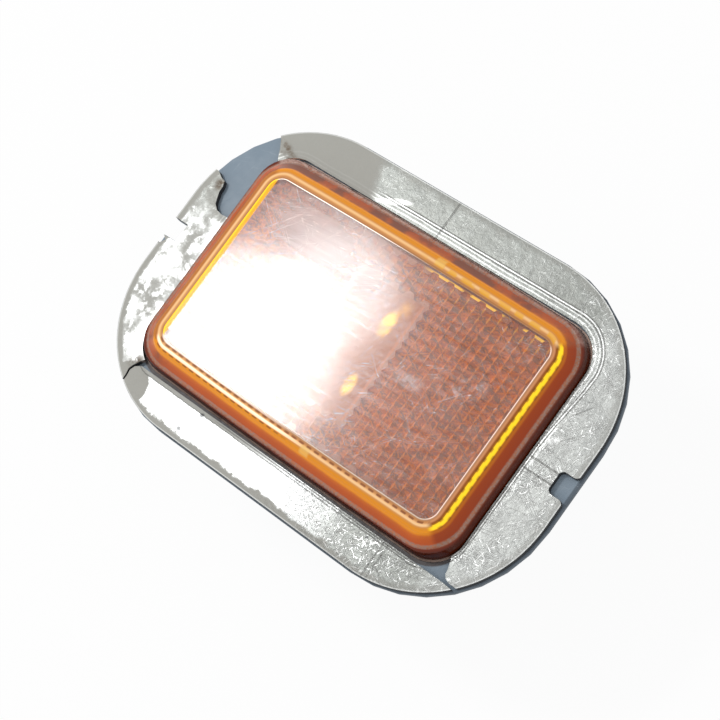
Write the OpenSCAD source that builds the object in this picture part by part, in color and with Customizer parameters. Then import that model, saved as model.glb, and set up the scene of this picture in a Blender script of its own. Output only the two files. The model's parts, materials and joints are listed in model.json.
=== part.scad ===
// Side marker lamp: an amber reflex lens on a moulded housing with a twist-in bulb holder.
// The lamp is fitted from behind a body panel, so its sealing strip lies on the front of the flange.
// X runs along the lamp, Y across it and Z out of the lens.
// The origin is the middle of the sealing face, on the back of the panel.

/* [Lens] */
// Length of the lens at the sealing face
lens_l = 95.6; // [88:0.2:106]
// Width of the lens at the sealing face
lens_w = 60; // [54:0.2:70]
// Height of the pane above the sealing face
lens_rise = 5.2; // [4.4:0.1:7]
// Width of the stepped border from the pane's edge to the lens's foot
lens_border = 6.8; // [6.2:0.1:8]
// Outward bow of each long side at its middle
lens_bow = 0.5; // [0:0.1:1.2]
// Corner radius of the flat pane
pane_r = 3.2; // [1.5:0.1:5]
// Corner radius of the lens's foot
foot_r = 8.4; // [7:0.1:12]
// Thickness of the pane
pane_t = 2.2; // [1.6:0.1:2.8]
// Height of the pane's edge above the line round it
pane_edge_h = 0.14; // [0.05:0.01:0.3]
// Width of the line round the pane
pane_line_w = 1.05; // [0.6:0.05:1.4]
// Wall of the lens's foot
foot_wall = 1.8; // [1.4:0.1:2.4]
// Length of the foot below the sealing face
foot_l = 3.9; // [3.2:0.1:5]
// Distance of the crown's shoulder from the pane's edge
crown_w = 3.1; // [2.6:0.1:3.6]
// Drop of the crown's shoulder below the pane
crown_drop = 1.1; // [0.8:0.05:1.4]
// Height of the ledge above the sealing face
ledge_h = 2.2; // [1.6:0.1:2.6]
// Width of the ledge
ledge_w = 0.95; // [0.5:0.05:1.2]
// Draft of the foot between the ledge and the sealing face
foot_draft = 0.6; // [0.2:0.05:0.9]

/* [Reflex optics] */
// Width across the flats of one prism
prism_af = 2.6; // [2.2:0.1:4]
// Reach of the prisms past the pane's edge, under the line round it
prism_reach = 1.1; // [0.2:0.1:1.3]
// Length of the light window along X
window_l = 17.4; // [12:0.2:24]
// Length of the light window along Y
window_w = 31.2; // [20:0.2:36]
// Number of pillows of the light window along X
pillow_cols_n = 6; // [3:1:8]
// Number of pillows of the light window along Y
pillow_rows_n = 12; // [6:1:14]
// Height of one pillow
pillow_h = 0.45; // [0.2:0.05:0.8]

/* [Flange] */
// Reach of the flange past the lens's foot at each end
flange_end = 13.2; // [10:0.1:20]
// Reach of the flange past the lens's foot at each long side
flange_side = 11.2; // [9.4:0.1:18]
// Corner radius of the flange
flange_r = 31.4; // [22:0.2:36]
// Thickness of the flange
flange_t = 1.7; // [1.4:0.1:3]
// Rounding of the flange's edge
flange_edge = 0.35; // [0.1:0.05:0.6]
// Depth of the locating notch in the flange
notch_d = 4.3; // [4.2:0.1:6]
// Width of the locating notch in the flange
notch_w = 4.8; // [4.4:0.1:7]
// Reach of the gussets under the flange
gusset_reach = 4.2; // [2:0.1:6]

/* [Sealing strip] */
// Thickness of the foam strip
foam_t = 1.35; // [1:0.05:2.5]
// Thickness of the skin on the strip
skin_t = 0.15; // [0.1:0.01:0.25]
// Distance of the strip from the flange's edge
strip_inset = 0.45; // [0.2:0.05:1.5]
// Gap between the strip and the lens's foot
strip_gap = 0.55; // [0.5:0.05:1.2]
// Depth of the notch in the right end of the strip
strip_notch_d = 4.3; // [4:0.1:6]
// Width of the notch in the right end of the strip
strip_notch_w = 5.5; // [4.6:0.1:8]
// Distance of the lower length's straight edge from the lens's foot
lower_gap = 1.4; // [1:0.1:2.4]
// Height of the left length's upper tear above the middle
tear_y = 9.2; // [6:0.1:12]
// Size of one step in the outlines of the tears
tear_step = 1; // [0.7:0.05:1.3]

/* [Housing] */
// Depth of the pan behind the sealing face
pan_depth = 22.2; // [20:0.1:30]
// Wall of the pan
pan_wall = 1.8; // [1.4:0.1:2.6]
// Floor of the pan
pan_floor = 2; // [1.6:0.1:3]
// Draft of the pan's walls over their whole depth
pan_draft = 0.6; // [0.2:0.1:1.2]
// Wall outside the lens channel
channel_wall = 1.6; // [1.2:0.1:2]
// Wall inside the lens channel
channel_lip = 1.2; // [1:0.1:1.6]
// Sealant under the lens's foot
bond_t = 0.4; // [0.2:0.05:0.8]
// Sealant beside the lens's foot
bond_side = 0.4; // [0.25:0.05:0.6]
// Thickness of the stiffening ribs
rib_t = 1.2; // [0.8:0.1:1.8]
// Height of the ribs on the pan's floor
rib_h = 1.6; // [1:0.1:2.4]
// Diameter of the collar round the socket hole
collar_d = 27; // [26:0.1:32]
// Height of the collar
collar_h = 3.8; // [3:0.1:5]
// Diameter of the socket hole
socket_d = 19.2; // [18.8:0.1:20.5]

/* [Bulb] */
// Gap between the prisms' points and the bulb
bulb_gap = 3.3; // [1.5:0.1:5]
// Diameter of the glass
bulb_d = 10.3; // [9:0.1:11]
// Length of the bulb
bulb_l = 26.8; // [24:0.1:28]
// Wall of the glass
bulb_wall = 0.6; // [0.4:0.05:0.9]
// Length of the wedge base
wedge_l = 8.6; // [7:0.1:9.5]
// Width of the wedge base
wedge_w = 9.5; // [8.5:0.1:10]
// Thickness of the wedge base
wedge_t = 2.5; // [2:0.1:3]
// Diameter of the lead wires
lead_d = 0.5; // [0.3:0.05:0.7]
// Distance of each lead wire from the middle
lead_x = 2.7; // [2.2:0.1:3.2]
// Height of the filament above the wedge base
coil_h = 10; // [8:0.1:11]
// Length of the filament's coil
coil_l = 4.4; // [3.6:0.1:4.8]
// Outer diameter of the filament's coil
coil_d = 0.9; // [0.6:0.05:1.2]
// Turns of the filament's coil
coil_turns = 9; // [5:1:12]

/* [Bulb holder] */
// Gap between the holder's neck and the socket hole
neck_gap = 0.3; // [0.2:0.05:0.5]
// Reach of the lugs past the neck
lug_reach = 2; // [1.4:0.1:2.4]
// Width of the lugs
lug_w = 4.6; // [3.6:0.1:5.4]
// Thickness of the lugs
lug_t = 1.8; // [1.2:0.1:2.4]
// Gap round the lugs in their cut-outs
lug_gap = 0.4; // [0.2:0.05:0.6]
// Thickness of the holder's seal
ring_t = 2.2; // [1.6:0.1:3]
// Diameter of the holder's flange
disc_d = 29; // [27:0.1:33]
// Thickness of the holder's flange
disc_t = 2; // [1.6:0.1:3]
// Diameter of the grip below the holder's flange
grip_d = 22; // [18:0.1:26]
// Thickness of the web below the bulb
web_t = 2.8; // [2:0.1:4]
// Gap between the wedge base and its slot
wedge_gap = 0.35; // [0.2:0.05:0.5]
// Length of the connector's mouth along X
mouth_l = 14; // [12.6:0.1:18]
// Width of the connector's mouth along Y
mouth_w = 9.6; // [8:0.1:12]
// Depth of the connector's mouth
mouth_d = 11; // [8:0.1:14]
// Wall of the connector's shroud
shroud_wall = 1.5; // [1.2:0.1:2.2]

/* [Contacts] */
// Thickness of the contact strip
contact_t = 0.4; // [0.3:0.05:0.6]
// Width of the contact's spring leaf
leaf_w = 3.6; // [3:0.1:4]
// Width of the terminal blade
blade_w = 2.8; // [2.4:0.1:3]
// Thickness of the terminal blade
blade_t = 0.8; // [0.6:0.05:1]
// Distance of each blade from the middle
blade_x = 3.7; // [3.4:0.1:4.4]
// Length of the blade inside the mouth
blade_l = 8.5; // [6:0.1:10]

/* [Hidden] */

eps = 0.01;
big = 300;
arc_n = 8;
side_n = 4;

flange_l = lens_l + 2 * flange_end;
flange_w = lens_w + 2 * flange_side;
pane_l = lens_l - 2 * lens_border;
pane_w = lens_w - 2 * lens_border;
strip_t = foam_t + skin_t;
flange_top = -strip_t;
flange_low = flange_top - flange_t;
ceiling_z = lens_rise - pane_t;
foot_z = -foot_l;

// Places across the lens border, measured outwards from the pane's edge
foot_in = lens_border - foot_wall;
channel_out = lens_border + bond_side;
wall_out = channel_out + channel_wall;
lip_out = foot_in - bond_side;
lip_in = lip_out - channel_lip;
channel_z = foot_z - bond_t;
pan_out = lip_in + pan_wall;
pan_top = channel_z - pan_wall;
floor_low = -pan_depth;
floor_top = floor_low + pan_floor;
floor_round = 1.2 * pan_floor;

// Heights along the bulb and its holder
collar_z = floor_low - collar_h;
disc_top = collar_z - ring_t;
disc_low = disc_top - disc_t;
bulb_z = ceiling_z - prism_drop(2) - bulb_gap - bulb_l;
web_top = min(bulb_z - lead_d - contact_t - 0.3, disc_top);
web_low = web_top - web_t;
mouth_z = web_low - mouth_d;
neck_d = socket_d - 2 * neck_gap;
neck_top = floor_top + lug_t + 0.3;
glass_z = bulb_z + wedge_l;
dome_z = bulb_z + bulb_l - bulb_d / 2;
coil_z = glass_z + coil_h;
leaf_y = wedge_t / 2 + lead_d;
leaf_top = bulb_z + 0.67 * wedge_l;
blade_z = web_low - blade_l;

// Rounded rectangle of points with bowed long sides, counterclockwise
function ring(l, w, r, z, bow = 0) = [
    for (q = [0:3]) for (k = [0:arc_n + side_n - 1])
        let (sx = q == 0 || q == 3 ? 1 : -1,
             sy = q < 2 ? 1 : -1,
             c = [sx * (l / 2 - r), sy * (w / 2 - r)],
             t = min(k, arc_n) / arc_n,
             a = 90 * (q + t),
             s = max(0, k - arc_n) / side_n,
             run = q % 2 == 0 ? [-(l - 2 * r) * s, 0] : [0, -(w - 2 * r) * s],
             p = c + r * [cos(a), sin(a)] + sy * run)
        [p[0], p[1] + sign(p[1]) * bow * (1 - pow(2 * p[0] / l, 2)), z]];

// Ring of points at a distance outwards from the pane's edge
function border_r(e) = pane_r + (foot_r - pane_r) * e / lens_border;
function border(e, z) = ring(pane_l + 2 * e, pane_w + 2 * e, border_r(e), z, lens_bow);

// Solid through rings of points, listed from the lowest to the highest
module loft(rings) {
    n = len(rings[0]);
    m = len(rings);
    points = [for (r = rings) each r];
    sides = [for (i = [0:m - 2]) for (j = [0:n - 1])
        let (a = i * n + j, b = i * n + (j + 1) % n)
        each [[a, a + n, b + n], [a, b + n, b]]];
    low = [for (j = [0:n - 1]) j];
    high = [for (j = [n - 1:-1:0]) (m - 1) * n + j];
    polyhedron(points, concat([low, high], sides));
}

// Evaluates its pieces as one mesh, since exact booleans on this many facets are slow
module meshed() {
    resize([0, 0, 0]) children();
}

// Rounded rectangle with true arcs
module plate(l, w, r) {
    square([l - 2 * r, w], center = true);
    square([l, w - 2 * r], center = true);
    for (sx = [-1, 1], sy = [-1, 1])
        translate([sx * (l / 2 - r), sy * (w / 2 - r)]) circle(r = r, $fn = 96);
}

// Lens

// Drop of a level of the prism array: 0 at its rim, 2 at its points
function prism_drop(level) = level * prism_af / (2 * sqrt(3)) / sqrt(0.5);

prism_side = prism_af / sqrt(3);
prism_cols = floor((pane_l / 2 + prism_reach - prism_side) / (1.5 * prism_side));
prism_rows = ceil(pane_w / prism_af);

// Lattice places count half sides along X and half flats along Y
function lattice(c, r) = [3 * c, 2 * r + (c % 2 == 0 ? 0 : 1)];
function lattice_xy(g) = [g[0] * prism_side / 2, g[1] * prism_af / 2];
corner_steps = [[2, 0], [1, 1], [-1, 1], [-2, 0], [-1, -1], [1, -1]];

function has_prism(c, r) =
    let (p = lattice_xy(lattice(c, r)))
    abs(p[0]) <= pane_l / 2 + prism_reach - prism_side
    && abs(p[1]) <= pane_w / 2 + prism_reach - prism_af / 2
    && abs(p[0]) + abs(p[1]) <= (pane_l + pane_w) / 2 + prism_reach - prism_af / 2
    && (abs(p[0]) >= window_l / 2 + prism_side || abs(p[1]) >= window_w / 2 + prism_af / 2);

// Columns and rows of the six neighbours, one across each side
function beside(c, r, k) =
    let (up = c % 2 == 0 ? 0 : 1)
    [[c + 1, r + up], [c, r + 1], [c - 1, r + up],
     [c - 1, r + up - 1], [c, r - 1], [c + 1, r + up - 1]][k];

module prisms() {
    cells = [for (c = [-prism_cols:prism_cols], r = [-prism_rows:prism_rows])
             if (has_prism(c, r)) [c, r]];
    top_z = ceiling_z + 0.5;
    points = [for (cell = cells)
        let (g = lattice(cell[0], cell[1]), p = lattice_xy(g),
             rim = [for (k = [0:5]) lattice_xy(g + corner_steps[k])])
        each concat([[p[0], p[1], ceiling_z - prism_drop(2)]],
                    [for (k = [0:5]) [rim[k][0], rim[k][1], ceiling_z - prism_drop(k % 2)]],
                    [for (k = [0:5]) [rim[k][0], rim[k][1], top_z]])];
    faces = [for (i = [0:len(cells) - 1]) let (o = 13 * i)
        each concat([for (k = [0:5]) [o, o + 1 + k, o + 1 + (k + 1) % 6]],
                    [[for (k = [5:-1:0]) o + 7 + k]],
                    [for (k = [0:5]) let (n = beside(cells[i][0], cells[i][1], k))
                        if (!has_prism(n[0], n[1]))
                            [o + 1 + k, o + 7 + k, o + 7 + (k + 1) % 6, o + 1 + (k + 1) % 6]])];
    polyhedron(points, faces);
}

module pillows() {
    sub = 3;
    nx = pillow_cols_n * sub;
    ny = pillow_rows_n * sub;
    bulge = [for (k = [0:sub]) 1 - pow(2 * k / sub - 1, 2)];
    low = [for (j = [0:ny], i = [0:nx])
        [window_l * (i / nx - 0.5), window_w * (j / ny - 0.5),
         ceiling_z - 0.15 - pillow_h * bulge[i % sub] * bulge[j % sub]]];
    top = [for (j = [0, 1], i = [0, 1])
        [window_l * (i - 0.5), window_w * (j - 0.5), ceiling_z + 0.5]];
    t = len(low);
    skin = [for (j = [0:ny - 1], i = [0:nx - 1]) let (a = j * (nx + 1) + i)
        each [[a, a + 1, a + nx + 2], [a, a + nx + 2, a + nx + 1]]];
    front = concat([t, t + 1], [for (i = [nx:-1:0]) i]);
    back = concat([t + 3, t + 2], [for (i = [0:nx]) ny * (nx + 1) + i]);
    left = concat([t + 2, t], [for (j = [0:ny]) j * (nx + 1)]);
    right = concat([t + 1, t + 3], [for (j = [ny:-1:0]) j * (nx + 1) + nx]);
    polyhedron(concat(low, top), concat(skin, [front, back, left, right, [t + 2, t + 3, t + 1, t]]));
}

module lens() {
    line_z = lens_rise - pane_edge_h;
    crown_z = lens_rise - crown_drop;
    ledge_out = lens_border - foot_draft;
    ledge_in = ledge_out - ledge_w;
    step = 0.15;
    color("darkorange") meshed() {
        difference() {
            loft([border(lens_border, foot_z), border(lens_border, 0),
                  border(ledge_out, ledge_h - step), border(ledge_out - step, ledge_h),
                  border(ledge_in, ledge_h + step), border(crown_w, crown_z),
                  border(crown_w - 0.35, crown_z + 0.45 * crown_drop),
                  border(crown_w - 0.95, crown_z + 0.72 * crown_drop),
                  border(pane_line_w, line_z), border(pane_edge_h, line_z), border(0, lens_rise)]);
            loft([border(foot_in, foot_z - 1), border(foot_in, ledge_h - 1.4),
                  border(crown_w - 1.2, ceiling_z - 0.2), border(crown_w - 1.5, ceiling_z)]);
        }
        prisms();
        pillows();
    }
}

module lens_bond() {
    top_z = flange_top + 0.4;
    color("dimgray") meshed() difference() {
        loft([border(channel_out, channel_z), border(channel_out, top_z - 0.15),
              border(channel_out - 0.15, top_z)]);
        loft([border(lip_out, channel_z - 1), border(lip_out, 1)]);
        loft([border(lens_border, foot_z), border(lens_border, 1)]);
    }
}

// Housing

module flange_blank() {
    e = flange_edge;
    loft([for (s = [[e, 0], [0.3 * e, 0.3 * e], [0, e], [0, flange_t - e],
                    [0.3 * e, flange_t - 0.3 * e], [e, flange_t]])
        ring(flange_l - 2 * s[0], flange_w - 2 * s[0], flange_r - s[0], flange_low + s[1])]);
}

module pan_outside() {
    loft([border(pan_out - pan_draft - floor_round, floor_low),
          border(pan_out - pan_draft - 0.3 * floor_round, floor_low + 0.3 * floor_round),
          border(pan_out - pan_draft, floor_low + floor_round),
          border(pan_out, pan_top), border(wall_out - 0.4, pan_top),
          border(wall_out, pan_top + 0.4), border(wall_out, flange_top - flange_t / 2)]);
}

module pan_inside() {
    r = pan_floor;
    loft([border(lip_in - pan_draft - r, floor_top),
          border(lip_in - pan_draft - 0.3 * r, floor_top + 0.3 * r),
          border(lip_in - pan_draft, floor_top + r), border(lip_in, channel_z), border(lip_in, 1)]);
}

module lens_channel() {
    difference() {
        loft([border(channel_out, channel_z), border(channel_out, 1)]);
        loft([border(lip_out, channel_z - 1), border(lip_out, 2)]);
    }
}

module flange_gussets() {
    gap_x = lens_l / 7;
    gap_y = lens_w / 4.2;
    drop = flange_low - pan_top - 0.4;
    for (s = [-1, 1], k = [-3:3])
        translate([k * gap_x, s * (pane_w / 2 + wall_out + lens_bow - 0.8), flange_low + eps])
            rotate([0, 0, s > 0 ? 90 : -90]) rotate([90, 0, 0])
                linear_extrude(rib_t, center = true) polygon([[0, 0], [gusset_reach, 0], [0, -drop]]);
    for (s = [-1, 1], k = [-1, 1])
        translate([s * (pane_l / 2 + wall_out - 0.8), k * gap_y, flange_low + eps])
            rotate([0, 0, s > 0 ? 0 : 180]) rotate([90, 0, 0])
                linear_extrude(rib_t, center = true) polygon([[0, 0], [gusset_reach, 0], [0, -drop]]);
}

module floor_ribs() {
    long = pane_l + 2 * (pan_out - pan_draft - floor_round) - 2;
    wide = pane_w + 2 * (pan_out - pan_draft - floor_round) - 2;
    low = floor_low - rib_h;
    translate([-long / 2, -rib_t / 2, low]) cube([long, rib_t, rib_h + 0.5]);
    for (k = [-2:2])
        translate([k * long / 4.4 - rib_t / 2, -wide / 2, low]) cube([rib_t, wide, rib_h + 0.5]);
}

module lug_shapes(reach, w, h) {
    for (k = [0:2])
        rotate([0, 0, 120 * k]) translate([0, -w / 2, 0]) cube([neck_d / 2 + reach, w, h]);
}

module housing() {
    color("slategray") meshed() difference() {
        union() {
            flange_blank();
            pan_outside();
            flange_gussets();
            floor_ribs();
            translate([0, 0, collar_z]) cylinder(d = collar_d, h = collar_h + 0.5, $fn = 64);
        }
        pan_inside();
        lens_channel();
        translate([0, 0, collar_z - 1]) cylinder(d = socket_d, h = collar_h + pan_floor + 2, $fn = 64);
        translate([0, 0, collar_z - 1])
            lug_shapes(lug_reach + lug_gap, lug_w + 2 * lug_gap, collar_h + pan_floor + 2);
        translate([-flange_l / 2 - 1, -notch_w / 2, flange_low - 1])
            cube([notch_d + 1, notch_w, flange_t + 2]);
    }
}

// Sealing strip, torn into three lengths

strip_l = flange_l - 2 * strip_inset;
strip_w = flange_w - 2 * strip_inset;
strip_r = flange_r - strip_inset;
hole_l = lens_l + 2 * strip_gap;
hole_w = lens_w + 2 * (strip_gap + lens_bow);
hole_r = foot_r + strip_gap;
edge_x = strip_l / 2;
edge_y = strip_w / 2;

// Area of the strip before it tore, drawn in by a trim all round
module strip_ring(trim) {
    difference() {
        plate(strip_l - 2 * trim, strip_w - 2 * trim, strip_r - trim);
        plate(hole_l + 2 * trim, hole_w + 2 * trim, hole_r + trim);
    }
}

// Mouth of a notch, with rounded corners outside and inside
module notch_cut(d, w, r) {
    difference() {
        union() {
            translate([edge_x - d + r, -w / 2]) square([d - r + 1, w]);
            translate([edge_x - d, -w / 2 + r]) square([r + eps, w - 2 * r]);
            for (s = [-1, 1])
                translate([edge_x - d + r, s * (w / 2 - r)]) circle(r = r, $fn = 32);
            translate([edge_x - r, -w / 2 - r]) square([r + 1, w + 2 * r]);
        }
        for (s = [-1, 1]) translate([edge_x - r, s * (w / 2 + r)]) circle(r = r, $fn = 32);
    }
}

// Ground that the left length covers: ragged at its upper tear, cracked at the lower
module left_ground() {
    u = tear_step;
    t = tear_y;
    x = -edge_x;
    lx = -lens_l / 2;
    ly = -lens_w / 2;
    polygon([[lx + 2 * u, t], [lx - 0.6 * u, t - 0.1 * u], [lx - 2.6 * u, t - 0.3 * u], [lx - 4.4 * u, t],
             [lx - 5.9 * u, t + 1.1 * u], [lx - 6.6 * u, t + 2.7 * u], [lx - 7.1 * u, t + 4.2 * u],
             [x + 5.6 * u, t + 5.4 * u], [x + 5.1 * u, t + 6.9 * u], [x + 3.6 * u, t + 7.3 * u],
             [x + 2.2 * u, t + 8.2 * u], [x - 3 * u, t + 9 * u], [x - 3 * u, -flange_w],
             [lx + 2.4 * u, -flange_w], [lx + 2.4 * u, ly - 5.2 * u], [lx + 2.1 * u, ly - 3.6 * u],
             [lx + 2.5 * u, ly - 2.4 * u], [lx + 3.6 * u, ly - 0.6 * u], [lx + 9 * u, ly + 6 * u],
             [lx + 9 * u, t]]);
}

// Ground that the lower length covers: a straight cut edge that runs on past the lens
module lower_ground() {
    u = tear_step;
    lx = -lens_l / 2;
    ly = -lens_w / 2;
    top = ly - lower_gap;
    tip = lens_l / 2 + 4.6 * u;
    polygon([[lx + 4.6 * u, top], [lx + 3.2 * u, ly - 2.4 * u], [lx + 2.7 * u, ly - 3.6 * u],
             [lx + 2.9 * u, ly - 5.2 * u], [lx + 2.9 * u, -flange_w], [tip, -flange_w],
             [tip, top - 0.5 * u], [tip - 1.2 * u, top - 0.15 * u], [tip - 3.4 * u, top]]);
}

// Ground that the main length covers, from its clean upper end round to its rounded lower tip
module main_ground() {
    u = tear_step;
    lx = lens_l / 2;
    ly = lens_w / 2;
    polygon([[-lx + 1.2 * u, ly - 3.4 * u], [-lx - 0.4 * u, ly - 0.2 * u], [-lx - 1.8 * u, ly + 1.9 * u],
             [-lx - 4 * u, ly + 4.4 * u], [-lx - 12 * u, ly + 20 * u], [flange_l, ly + 20 * u],
             [flange_l, -ly - 0.8 * u], [lx + 2.6 * u, -ly - 0.8 * u], [lx + 1.4 * u, -ly - 0.4 * u],
             [lx + 0.7 * u, -ly + 0.4 * u], [lx + 0.5 * u, -ly + 1.6 * u], [lx - 1 * u, -ly + 6 * u],
             [lx - 1 * u, ly - 3.4 * u]]);
}

module left_shape(trim) {
    difference() {
        intersection() {
            strip_ring(trim);
            left_ground();
        }
        translate([-edge_x - 1, -notch_w / 2 - 0.2 - trim])
            square([notch_d + 1.2 - strip_inset + trim, notch_w + 0.2 + 2 * trim]);
        translate([-edge_x - 1, -notch_w / 2]) rotate(-34) translate([0, -1.4 - trim]) square([2.6, 1.9]);
    }
}

module lower_shape(trim) {
    intersection() {
        strip_ring(trim);
        lower_ground();
    }
}

module main_shape(trim) {
    difference() {
        intersection() {
            strip_ring(trim);
            main_ground();
        }
        translate([0, -0.5]) notch_cut(strip_notch_d + trim, strip_notch_w + 2 * trim, 1.2);
    }
}

module foam() {
    color("black") translate([0, 0, flange_top]) linear_extrude(foam_t) children();
}

module skin() {
    color("silver") translate([0, 0, -skin_t]) linear_extrude(skin_t) children();
}

module strip_main() {
    foam() main_shape(0);
}

module strip_left() {
    foam() left_shape(0);
}

module strip_lower() {
    foam() lower_shape(0);
}

module skin_main() {
    skin() main_shape(0.05);
}

module skin_left() {
    skin() left_shape(0.05);
}

module skin_lower() {
    skin() lower_shape(0.05);
}

// Bulb

module lead_path(side) {
    x = side * lead_x;
    y = side * (wedge_t / 2 + lead_d / 2);
    low = bulb_z - lead_d / 2;
    translate([x, 0, low]) cylinder(d = lead_d, h = coil_z - low, $fn = 16);
    translate([x, 0, coil_z]) sphere(d = lead_d, $fn = 16);
    translate([x, 0, low]) sphere(d = lead_d, $fn = 16);
    translate([x, 0, low]) rotate([side > 0 ? -90 : 90, 0, 0]) cylinder(d = lead_d, h = abs(y), $fn = 16);
    translate([x, y, low]) sphere(d = lead_d, $fn = 16);
    translate([x, y, low]) cylinder(d = lead_d, h = leaf_top - low - 0.6, $fn = 16);
}

module bulb_glass() {
    inner = bulb_d / 2 - bulb_wall;
    color("lightcyan") difference() {
        union() {
            translate([0, 0, glass_z]) cylinder(d = bulb_d, h = dome_z - glass_z, $fn = 64);
            translate([0, 0, dome_z]) sphere(d = bulb_d, $fn = 64);
            translate([-wedge_w / 2, -wedge_t / 2, bulb_z]) cube([wedge_w, wedge_t, wedge_l]);
            hull() {
                translate([0, 0, glass_z]) cylinder(d = bulb_d, h = 0.4, $fn = 32);
                translate([-wedge_w / 2, -wedge_t / 2, glass_z - 1.6]) cube([wedge_w, wedge_t, 0.4]);
            }
        }
        translate([0, 0, glass_z + 1]) cylinder(r = inner, h = dome_z - glass_z - 1, $fn = 64);
        translate([0, 0, dome_z]) sphere(r = inner, $fn = 64);
        for (side = [-1, 1]) lead_path(side);
    }
}

// Helix of small rings along X between the two lead wires
module bulb_filament() {
    steps = coil_turns * 10;
    sides = 5;
    wire_r = 0.11;
    mid_r = coil_d / 2 - wire_r;
    rings = [for (i = [0:steps]) let (t = i / steps, a = 360 * coil_turns * t)
        [for (k = [0:sides - 1]) let (b = 360 * k / sides, rr = mid_r + wire_r * cos(b))
            [coil_l * (t - 0.5) - wire_r * sin(b), rr * cos(a), coil_z + rr * sin(a)]]];
    color("gray") meshed() {
        loft(rings);
        for (s = [-1, 1])
            translate([s * coil_l / 2, 0, coil_z]) rotate([0, s * 90, 0]) rotate([0, 0, 90])
                translate([0, 0, -0.05])
                    cylinder(d = 0.7 * coil_d, h = lead_x - (lead_d + coil_l) / 2 + 0.05, $fn = 16);
    }
}

module bulb_lead_a() {
    color("lightgray") lead_path(1);
}

module bulb_lead_b() {
    color("lightgray") lead_path(-1);
}

// Bulb holder

// Room for a spring leaf, and for the foot that joins it to its blade
module contact_pocket(side) {
    gap = 0.25;
    out = leaf_y + contact_t + gap;
    translate([side * lead_x - leaf_w / 2 - gap, side > 0 ? 0 : -out - 0.8, web_top])
        cube([leaf_w + 2 * gap, out + 0.8, neck_top - web_top + 1]);
    translate([side * blade_x - blade_w / 2 - gap, side > 0 ? -blade_t / 2 - gap : -out, web_top])
        cube([blade_w + 2 * gap, out + blade_t / 2 + gap, contact_t + gap]);
}

module bulb_holder() {
    slot_w = wedge_w + 2 * wedge_gap;
    slot_t = wedge_t + 2 * wedge_gap;
    seat_w = 2 * (blade_x - blade_w / 2 - 0.5);
    color([0.16, 0.16, 0.17]) meshed() difference() {
        union() {
            translate([0, 0, disc_low]) cylinder(d = neck_d, h = neck_top - disc_low, $fn = 64);
            translate([0, 0, floor_top + 0.1]) rotate([0, 0, 40]) lug_shapes(lug_reach, lug_w, lug_t);
            translate([0, 0, disc_low]) cylinder(d = disc_d, h = disc_t, $fn = 64);
            translate([0, 0, web_low]) cylinder(d = grip_d, h = disc_low - web_low + eps, $fn = 64);
            for (s = [0, 90]) rotate([0, 0, s + 45])
                translate([-disc_d / 2 + 0.6, -rib_t, web_low])
                    cube([disc_d - 1.2, 2 * rib_t, disc_low - web_low + eps]);
            translate([0, 0, mouth_z]) linear_extrude(mouth_d + eps)
                plate(mouth_l + 2 * shroud_wall, mouth_w + 2 * shroud_wall, 2);
            translate([-mouth_l / 7, mouth_w / 2 + shroud_wall - eps, mouth_z + mouth_d / 4])
                cube([mouth_l / 3.5, shroud_wall, mouth_d / 3]);
        }
        translate([0, 0, mouth_z - 1]) linear_extrude(mouth_d + 1) plate(mouth_l, mouth_w, 0.8);
        difference() {
            translate([-slot_w / 2, -slot_t / 2, web_top]) cube([slot_w, slot_t, neck_top - web_top + 1]);
            translate([-seat_w / 2, -slot_t, web_top - 1]) cube([seat_w, 2 * slot_t, bulb_z - web_top + 1]);
        }
        translate([0, 0, glass_z - 1.8])
            cylinder(d = bulb_d + 2 * wedge_gap, h = neck_top - glass_z + 3, $fn = 64);
        for (side = [-1, 1]) {
            contact_pocket(side);
            blade_cut(side);
        }
    }
}

module holder_seal() {
    color("firebrick") translate([0, 0, disc_top]) difference() {
        cylinder(d = collar_d - 1, h = ring_t, $fn = 64);
        translate([0, 0, -1]) cylinder(d = neck_d, h = ring_t + 2, $fn = 64);
    }
}

// Contacts

module blade_cut(side) {
    translate([side * blade_x - blade_w / 2, -blade_t / 2, web_low - 1]) cube([blade_w, blade_t, web_t + 2]);
}

module contact(side) {
    x = side * lead_x;
    foot = web_top;
    color("goldenrod") {
        translate([x - leaf_w / 2, 0, 0]) mirror([0, side > 0 ? 0 : 1, 0]) rotate([90, 0, 90])
            linear_extrude(leaf_w)
                polygon([[leaf_y, foot], [leaf_y + contact_t, foot], [leaf_y + contact_t, leaf_top - 1],
                         [leaf_y + contact_t + 0.6, leaf_top], [leaf_y + 0.6, leaf_top + 0.2],
                         [leaf_y, leaf_top - 0.8]]);
        translate([side * blade_x - blade_w / 2, side > 0 ? -blade_t / 2 : -leaf_y - contact_t, foot])
            cube([blade_w, leaf_y + contact_t + blade_t / 2, contact_t]);
        translate([side * blade_x - blade_w / 2, -blade_t / 2, blade_z])
            cube([blade_w, blade_t, foot - blade_z + eps]);
    }
}

module contact_a() {
    contact(1);
}

module contact_b() {
    contact(-1);
}

lens();
lens_bond();
housing();
strip_main();
strip_left();
strip_lower();
skin_main();
skin_left();
skin_lower();
bulb_glass();
bulb_filament();
bulb_lead_a();
bulb_lead_b();
bulb_holder();
holder_seal();
contact_a();
contact_b();
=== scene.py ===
# Side marker lamp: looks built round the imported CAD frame. Lengths in the dictionaries are in millimetres.
import json
import math

import bpy
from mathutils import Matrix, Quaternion, Vector, noise

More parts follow.
